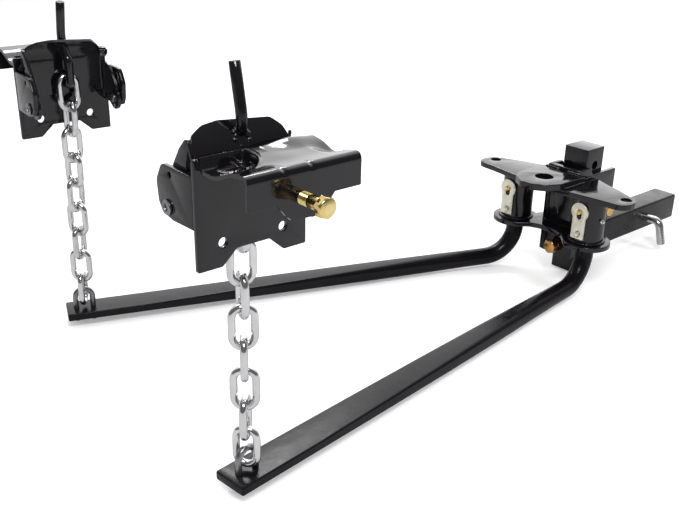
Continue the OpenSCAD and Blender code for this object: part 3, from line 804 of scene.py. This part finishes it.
def set_bolt(s):
    m = hanger_matrix(s) @ tr(0, PLATE_V - PLATE_T - SADDLE_D - SET_STAND, SET_Z) @ rot(-90, "X")
    p = Parts()
    p.add(*hex_head(SET_AF, 9), m @ rot(180, "X") @ rot(10, "Z"))
    prof = [(8.6, -0.01), (8.6, 0.6), (7.15, 1.2), (7.15, 17)] + reversed_thread(14.3, 17, 49.5, 2.1, 0.8)
    p.add(*revolve(prof, 40), m)
    ob = clean(p.make(f"set_bolt_{SIDE[s]}"))
    finish_piece(ob, f"{SIDE[s]}_set_bolt", [f"{SIDE[s]}_set_bolt"], GOLD, 32)
    m = hanger_matrix(s) @ tr(0, PLATE_V - PLATE_T - SADDLE_D + 5, SET_Z) @ rot(-90, "X")
    ob = clean(to_object(f"set_nut_{SIDE[s]}", *hex_head(SET_AF, 11), m))
    finish_piece(ob, f"{SIDE[s]}_bar", [f"{SIDE[s]}_set_nut"], BLACK, 32)


def reversed_thread(d, z0, z1, pitch=1.8, depth=0.75):
    """Profile of thread ridges from z0 to a tapered end at z1."""
    prof, z = [], z0
    while z + pitch < z1 - 0.8:
        prof += [(d / 2 - depth, z + pitch * 0.5), (d / 2, z + pitch)]
        z += pitch
    prof += [(d / 2 - depth, z1 - 0.8), (d / 2 - 1.6, z1)]
    return prof


def bracket_welds(s):
    p = Parts()
    w = PLATE_W / 2
    for e in (-1, 1):
        p.add(*bead([Vector((e * (w - 7), PLATE_V + 1.0, z)) for z in (PIVOT_Z - 8, 214)], 2.4))
    p.add(*bead([Vector((-w + 4, PLATE_V - 6.3, 234)), Vector((-24, PLATE_V - 6.6, 234.5)),
                 Vector((24, PLATE_V - 6.6, 234.5)), Vector((w - 4, PLATE_V - 6.3, 234))], 1.8))
    ob = clean(to_object(f"bracket_weld_{SIDE[s]}", p.v, p.f, hanger_matrix(s)))
    finish_piece(ob, f"{SIDE[s]}_bar", [], WELD, 70)


# Receiver shank ------------------------------------------------------------------

SHANK_X, SHANK_W, TUBE_Z, PIVOT_HOLE_Z, HITCH_PIN_X = 113, 50.8, -143.1, -58.5, 316.4


def shank():
    leg = plate(round_rect(SHANK_W, SHANK_W, 2.2, 5), [], 241, 1.0, tr(SHANK_X, 0, -204))
    leg = clean(to_object("shank_leg", *leg))
    cutter = to_object("c", *revolve([(8.15, -40), (8.15, 40)], 40), tr(SHANK_X, 0, 5) @ rot(90, "X"))
    m = tr(SHANK_X, 0, PIVOT_HOLE_Z) @ rot(90, "X")
    cutter2 = to_object("c2", *revolve([(8.15, -40), (8.15, 40)], 40), m)
    cut(leg, cutter, cutter2)
    finish_piece(leg, "shank", ["receiver_shank"], BLACK, 32)
    m = tr(SHANK_X + SHANK_W / 2, 0, TUBE_Z) @ ON_YZ
    tube = plate(round_rect(SHANK_W, SHANK_W, 4.2, 6), [round_rect(38, 38, 2.5, 5)], 285, 0.7, m)
    tube = clean(to_object("receiver_tube", *tube))
    m = tr(HITCH_PIN_X, 0, TUBE_Z) @ rot(90, "X")
    cutter = to_object("c3", *revolve([(8.0, -40), (8.0, 40)], 40), m)
    cut(tube, cutter)
    finish_piece(tube, "shank", [], SATIN, 32)
    p = Parts()
    p.add(*bead([Vector((141, y, -115.5)) for y in (-22, 22)], 4.2))
    for e in (-1, 1):
        p.add(*bead([Vector((140, e * 25.0, -120)), Vector((140, e * 25.0, -166))], 2.6))
    ob = clean(p.make("shank_weld"))
    finish_piece(ob, "shank", [], WELD, 70)


def hitch_pin():
    path = [Vector((0, y, 0)) for y in (40, 20, 0, -25, -45.4)]
    for k in range(1, 13):
        a = math.radians(75 * k / 12)
        path.append(Vector((0, -45.4 - 16 * math.sin(a), -16 + 16 * math.cos(a))))
    leg = Vector((0, -math.cos(a), -math.sin(a)))
    path += [path[-1] + leg * 18, path[-1] + leg * 35]
    v, f = rod(path, X, 7.95, 28, 1.4)
    ob = clean(to_object("hitch_pin_bent", v, f, tr(HITCH_PIN_X, 0, TUBE_Z)))
    finish_piece(ob, "hitch_pin", ["hitch_pin"], ZINC, 40)
    path = [Vector((0, 0, z)) for z in (-24, 0, 18)]
    for k in range(1, 13):
        a = math.pi * k / 12
        path.append(Vector((0, 5.75 - 5.75 * math.cos(a), 18 + 5.75 * math.sin(a))))
    path += [Vector((0, 11.5, 6)), Vector((0, 10.6, -2)), Vector((0, 11.6, -12))]
    v, f = rod(path, X, 2.0, 14, 0.5)
    ob = clean(to_object("hairpin_clip", v, f, tr(HITCH_PIN_X, 33, TUBE_Z)))
    finish_piece(ob, "hitch_pin", ["hitch_pin_clip"], ZINC, 40)


# Hitch head ------------------------------------------------------------------------

WEB_X, CH_T, CHEEK_Y, HEAD_Y = 56.6, 9.5, 26.0, 35.5
CLAMP_X, CLAMP_Z, TILT_Z, BOLT_AF = 152, -85, -146, 23.8


def head():
    # channel: two cheeks and the web between them, with rounded front corners
    side = rounded([(WEB_X, -164, 3), (WEB_X, 6, 3), (89, 6, 2), (97, -8, 4), (168.4, -8, 2),
                    (168.4, -104, 3), (156.4, -112, 3), (109, -112, 5), (86.6, -164, 3)], 4)
    holes = [circle_points(SHANK_X, PIVOT_HOLE_Z, 8.0), circle_points(CLAMP_X, CLAMP_Z, 8.0)]
    p = Parts()
    for face in (-CHEEK_Y, HEAD_Y):
        p.add(*plate(side, holes, CH_T, 1.6, tr(0, face, 0) @ ON_XZ, 3))
    front = [(-CHEEK_Y - 3, -163.4), (CHEEK_Y + 3, -163.4), (CHEEK_Y + 3, 5.4), (-CHEEK_Y - 3, 5.4)]
    p.add(*plate(front, [circle_points(0, TILT_Z, 8.0)], CH_T, 0.5, tr(WEB_X + 0.02, 0, 0) @ ON_YZ))
    ob = clean(p.make("head_channel_body"))
    finish_piece(ob, "head", ["head_channel"], BLACK, 32)

    # wing plate with the tab on top of it
    half = [(-5, 62, 60), (3, 118, 60), (5, 146, 30), (8, 155, 10), (14, 161, 10), (24, 164, 12),
            (36, 164, 12), (46, 161, 12), (56, 148, 40), (75, 104, 20), (82, 80, 20), (96, HEAD_Y + 12, 8),
            (96, HEAD_Y + 0.4, 1), (WEB_X, HEAD_Y + 0.4, 1)]
    whole = half + [(x, -y, r) for x, y, r in reversed(half)]
    holes = [circle_points(39, q * 144.6, 9.5) for q in (-1, 1)] + [circle_points(0, 0, 16.1, 48)]
    v, f = plate(rounded(whole, 8), holes, 10, 1.3, tr(0, 0, -22), 3)
    ob = clean(to_object("wing_plate_body", v, f))
    finish_piece(ob, "head", ["wing_plate"], BLACK, 32)
    tab = [(WEB_X, 46, 0.5), (-12, 46, 9), (-36, 35, 12), (-52, 12, 12), (-52, -12, 12), (-36, -35, 12),
           (-12, -46, 9), (WEB_X, -46, 0.5)]
    v, f = plate(rounded(tab, 8), [circle_points(0, 0, 16.1, 56)], 12, 1.4, tr(0, 0, -12), 3)
    ob = clean(to_object("ball_tab_body", v, f))
    finish_piece(ob, "head", ["ball_tab"], BLACK, 32)

    # dog-bone plate
    ring = []
    for q in (1, -1):
        pts = []
        for k in range(41):
            a = math.radians(-60 + 285 * k / 40) if q > 0 else math.radians(-225 + 285 * k / 40)
            pts.append((SOCKET_X + 42 * math.cos(a), q * SOCKET_Y + 42 * math.sin(a)))
        ring.append(pts)
    left, right = ring
    outline = [(WEB_X, HEAD_Y + 0.3), (92, HEAD_Y + 0.3), (92, 56), (76, 62)]
    outline += [p for p in left if p[1] > 62 or p[0] < SOCKET_X]
    outline += [(20, 36), (27, 20), (29.5, 0), (27, -20), (20, -36)]
    outline += [p for p in right if p[1] < -62 or p[0] < SOCKET_X]
    outline += [(76, -62), (92, -56), (92, -HEAD_Y - 0.3), (WEB_X, -HEAD_Y - 0.3)]
    holes = [circle_points(SOCKET_X, q * SOCKET_Y, 16.5) for q in (-1, 1)]
    v, f = plate(outline, holes, 9, 1.2, tr(0, 0, -113), 3)
    ob = clean(to_object("lower_plate_body", v, f))
    finish_piece(ob, "head", ["lower_plate"], BLACK, 32)

    # sockets
    for s in (-1, 1):
        prof = [(28.5, -104), (28.5, -22), (15.93, -22), (15.93, -104), (28.5, -104)]
        ob = clean(to_object(f"socket_tube_{SIDE[s]}", *revolve(prof, 72), tr(SOCKET_X, s * SOCKET_Y, 0)))
        m = tr(SOCKET_X - 28.5, s * SOCKET_Y, -45) @ rot(90, "Y")
        hole = to_object("c", *revolve([(7.5, -12), (7.5, 20)], 32), m)
        cut(ob, hole)
        finish_piece(ob, "head", [f"{SIDE[s]}_socket"], BLACK, 32)

    # welds
    p = Parts()
    for s in (-1, 1):
        for z, r, g in ((-102.6, 29.6, 2.7), (-23.0, 29.2, 2.2)):
            turns = [2 * math.pi * k / 60 for k in range(60)]
            path = [Vector((SOCKET_X + r * math.cos(a), s * SOCKET_Y + r * math.sin(a), z)) for a in turns]
            if z > -50:
                path = [q for q in path if q.x > SOCKET_X - 20]
                path.sort(key=lambda q: math.atan2(q.y - s * SOCKET_Y, q.x - SOCKET_X))
                p.add(*bead(path, g, 3.4, 0.3))
            else:
                p.add(*bead(path, g, 3.4, 0.3, closed=True))
        p.add(*bead([Vector((x, s * 47.0, -10.6)) for x in (-3, 20, WEB_X - 1)], 2.6, 3.6, 0.4))
        p.add(*bead([Vector((WEB_X - 0.6, y, 0.6)) for y in (s * 40, s * 8)], 2.4, 3.6, 0.4))
        p.add(*bead([Vector((x, s * (HEAD_Y + 1), -10.8)) for x in (62, 94)], 2.4, 3.6, 0.4))
        p.add(*bead([Vector((x, s * (HEAD_Y + 1), -103)) for x in (60, 91)], 2.4, 3.6, 0.4))
    p.add(*bead([Vector((WEB_X - 1, y, -103)) for y in (-34, 34)], 2.6, 3.6, 0.4))
    ob = clean(p.make("head_weld_beads"))
    finish_piece(ob, "head", ["head_welds"], WELD, 70)

    # bolts
    heads, washers, nuts = Parts(), Parts(), Parts()
    ring = [(8.2, 0), (16.1, 0), (16.5, 0.4), (16.5, 2.6), (16.0, 3), (8.2, 3), (8.2, 0)]
    for x, z in ((SHANK_X, PIVOT_HOLE_Z), (CLAMP_X, CLAMP_Z)):
        m = tr(x, -HEAD_Y - 3, z) @ rot(-90, "X")
        heads.add(*hex_head(BOLT_AF, 10), m @ rot(180, "X"))
        prof = [(7.95, 0), (7.95, 70)] + reversed_thread(15.9, 70, 95)
        heads.add(*revolve(prof, 36), m)
        for q in (-1, 1):
            mw = tr(x, q * HEAD_Y, z) @ rot(-90 * q, "X")
            washers.add(*revolve(ring, 48), mw)
        nuts.add(*hex_head(BOLT_AF, 14), tr(x, HEAD_Y + 3, z) @ rot(-90, "X"))
    finish_piece(clean(heads.make("head_hex_bolts")), "head", ["head_bolts"], COPPER, 32)
    finish_piece(clean(washers.make("head_washers")), "head", ["head_bolt_washers"], GOLD, 32)
    finish_piece(clean(nuts.make("head_hex_nuts")), "head", ["head_bolt_nuts"], COPPER, 32)
    m = tr(47.6, 0, TILT_Z) @ rot(90, "Y")
    t = Parts().add(*hex_head(BOLT_AF, 10), m @ rot(180, "X") @ rot(14, "Z"))
    t.add(*revolve([(7.95, 0), (7.95, 8)] + reversed_thread(15.9, 8, 34.6) + [(3, 39.4)], 36), m)
    finish_piece(clean(t.make("tilt_hex_bolt")), "tilt_bolt", ["tilt_bolt"], COPPER, 32)
    ob = clean(to_object("tilt_weld_nut", *hex_head(BOLT_AF, 12), tr(WEB_X + CH_T, 0, TILT_Z) @ rot(90, "Y")))
    finish_piece(ob, "head", ["tilt_nut"], BLACK, 32)

    # grease fittings
    g = Parts()
    for s in (-1, 1):
        m = tr(SOCKET_X, s * SOCKET_Y, -60) @ rot(s * 100, "Z") @ rot(90, "Y")
        g.add(*hex_head(7.4, 3.4), m @ tr(0, 0, 28.4))
        g.add(*revolve([(2.6, 31.8), (1.7, 32.6), (1.7, 33.4), (2.5, 34.0), (2.4, 35.0), (1.2, 35.5)], 20), m)
    finish_piece(clean(g.make("grease_nipples")), "head", ["grease_fittings"], ZINC, 32)


def retainer(s):
    strap_x = SOCKET_X - 28.5 - 3
    m = tr(strap_x, s * SOCKET_Y, 0) @ ON_YZ
    outline = []
    a0 = math.degrees(math.asin(13 / 17))
    for k in range(49):
        a = math.radians(-90 + a0 + (360 - 2 * a0) * k / 48)
        outline.append((17 * math.cos(a), -45 + 17 * math.sin(a)))
    outline += [(-13, -94), (-12, -95), (12, -95), (13, -94)]
    slot = []
    for k in range(13):
        a = math.pi * k / 12
        slot.append((4.7 * math.cos(a), -45 + 4.7 * math.sin(a)))
    for k in range(13):
        a = math.pi + math.pi * k / 12
        slot.append((4.7 * math.cos(a), -54 + 4.7 * math.sin(a)))
    v, f = plate(outline, [slot, circle_points(0, -86, 3.6, 20)], 3, 0.5, m)
    ob = clean(to_object(f"retainer_{SIDE[s]}_sheet", v, f))
    finish_piece(ob, f"{SIDE[s]}_retainer", [f"{SIDE[s]}_retainer"], PALE, 32)
    m = tr(strap_x, s * SOCKET_Y, -45) @ rot(90, "Y")
    prof = [(3.0, -3.4), (4.2, -2.8), (4.5, -2.0), (4.5, 18.2), (3.5, 19.4)]
    ob = clean(to_object(f"retainer_{SIDE[s]}_stud", *revolve(prof, 32), m))
    finish_piece(ob, f"{SIDE[s]}_retainer", [f"{SIDE[s]}_retainer_pin"], GOLD, 40)
    return strap_x


def rivets(strap_x):
    p = Parts()
    for s in (-1, 1):
        m = tr(strap_x, s * SOCKET_Y, -86) @ rot(90, "Y")
        p.add(*revolve([(2.2, -3.4), (4.6, -3.1), (5.5, -2.2), (5.5, -1.6), (3.0, -1.5), (3.0, 9.5)], 32), m)
    finish_piece(clean(p.make("strap_rivets")), "head", ["retainer_rivets"], PALE, 40)


for side in (-1, 1):
    spring_bar(side)
    u_bolt(side)
    chain(side)
    bracket_plate(side)
    ears(side)
    pivot_pins(side)
    saddle(side)
    yoke(side)
    lever(side)
    set_bolt(side)
    bracket_welds(side)
    strap = retainer(side)
rivets(strap)
shank()
hitch_pin()
head()


# Stage ----------------------------------------------------------------------------

FLOOR_Z = -204.4


def floor():
    """Pale floor, white to the eye and a soft grey in reflections."""
    mat, tree, bsdf, coord = nodes_of("studio_floor")
    n = noise_node(tree, coord, 3.0, 2)
    col = ramp(tree, n.outputs[0], [(0.3, (0.90, 0.90, 0.90)), (0.7, (0.93, 0.93, 0.93))])
    tree.links.new(col.outputs[0], bsdf.inputs["Base Color"])
    bsdf.inputs["Roughness"].default_value = 0.9
    bsdf.inputs["Specular IOR Level"].default_value = 0.0
    bsdf.inputs["Emission Color"].default_value = (1, 1, 1, 1)
    bsdf.inputs["Emission Strength"].default_value = 0.22
    dim = tree.nodes.new("ShaderNodeBsdfDiffuse")
    dim.inputs[0].default_value = (0.56, 0.56, 0.57, 1)
    kind = tree.nodes.new("ShaderNodeLightPath")
    both = tree.nodes.new("ShaderNodeMixShader")
    tree.links.new(kind.outputs["Is Glossy Ray"], both.inputs[0])
    tree.links.new(bsdf.outputs[0], both.inputs[1])
    tree.links.new(dim.outputs[0], both.inputs[2])
    tree.links.new(both.outputs[0], tree.nodes["Material Output"].inputs[0])
    corners = [(x * 9000, y * 9000, FLOOR_Z) for x, y in ((-1, -1), (1, -1), (1, 1), (-1, 1))]
    ob = to_object("studio_floor", corners, [[0, 1, 2, 3]])
    ob.data.materials.append(mat)


floor()

world = bpy.data.worlds.new("studio")
bpy.context.scene.world = world
world.use_nodes = True
wt = world.node_tree
wt.nodes.clear()
wout = wt.nodes.new("ShaderNodeOutputWorld")
mix = wt.nodes.new("ShaderNodeMixShader")
seen = wt.nodes.new("ShaderNodeBackground")
seen.inputs[0].default_value = (1, 1, 1, 1)
seen.inputs[1].default_value = 1.0
lit = wt.nodes.new("ShaderNodeBackground")
lit.inputs[0].default_value = (1, 1, 1, 1)
lit.inputs[1].default_value = 0.8
glossy = wt.nodes.new("ShaderNodeBackground")
wc = wt.nodes.new("ShaderNodeTexCoord")
away = wt.nodes.new("ShaderNodeVectorMath")
away.operation = "DOT_PRODUCT"
away.inputs[1].default_value = (0.55, 0.64, 0.54)
wt.links.new(wc.outputs["Generated"], away.inputs[0])
wr = wt.nodes.new("ShaderNodeValToRGB")
wt.links.new(away.outputs["Value"], wr.inputs[0])
stops = [(0.0, 0.07), (0.45, 0.12), (0.72, 0.55), (0.88, 1.0)]
while len(wr.color_ramp.elements) < len(stops):
    wr.color_ramp.elements.new(0.5)
for element, (place, tone) in zip(wr.color_ramp.elements, stops):
    element.position = place
    element.color = (tone, tone, tone * 1.01, 1)
wt.links.new(wr.outputs[0], glossy.inputs[0])
glossy.inputs[1].default_value = 1.95
shine = wt.nodes.new("ShaderNodeMixShader")
path_node = wt.nodes.new("ShaderNodeLightPath")
wt.links.new(path_node.outputs["Is Camera Ray"], mix.inputs[0])
wt.links.new(path_node.outputs["Is Glossy Ray"], shine.inputs[0])
wt.links.new(lit.outputs[0], shine.inputs[1])
wt.links.new(glossy.outputs[0], shine.inputs[2])
wt.links.new(shine.outputs[0], mix.inputs[1])
wt.links.new(seen.outputs[0], mix.inputs[2])
wt.links.new(mix.outputs[0], wout.inputs[0])


def softbox(name, where, aim, size, size_y, watts):
    data = bpy.data.lights.new(name, "AREA")
    data.shape = "RECTANGLE"
    data.size, data.size_y, data.energy = size, size_y, watts
    ob = bpy.data.objects.new(name, data)
    bpy.context.scene.collection.objects.link(ob)
    ob.location = where
    ob.rotation_mode = "QUATERNION"
    ob.rotation_quaternion = (Vector(aim) - Vector(where)).to_track_quat("-Z", "Y")
    return ob


softbox("key", (-1.5, -1.5, 2.2), (-0.2, 0, 0), 0.9, 0.6, 38)
softbox("fill", (0.6, -1.8, 1.2), (-0.1, 0, -0.05), 0.5, 0.9, 14).visible_glossy = False
softbox("rim", (0.4, 2.0, 2.0), (-0.3, 0, 0), 1.4, 0.5, 34)

cam_data = bpy.data.cameras.new("camera")
cam_data.sensor_width = 36.0
cam_data.lens = 48.3561
cam_data.clip_start, cam_data.clip_end = 0.01, 60.0
cam = bpy.data.objects.new("camera", cam_data)
bpy.context.scene.collection.objects.link(cam)
yaw, pitch, roll = math.radians(49.31), math.radians(23.36), math.radians(-1.14)
fwd = Vector((math.cos(pitch) * math.cos(yaw), math.cos(pitch) * math.sin(yaw), -math.sin(pitch)))
right = Vector((math.sin(yaw), -math.cos(yaw), 0))
down = fwd.cross(right)
r2 = right * math.cos(roll) + down * math.sin(roll)
d2 = down * math.cos(roll) - right * math.sin(roll)
look = Matrix((r2, -d2, -fwd)).transposed().to_4x4()
cam.matrix_world = Matrix.Translation((-1.2831, -0.9381, 0.5061)) @ look
bpy.context.scene.camera = cam

bpy.context.scene.view_settings.view_transform = "Standard"
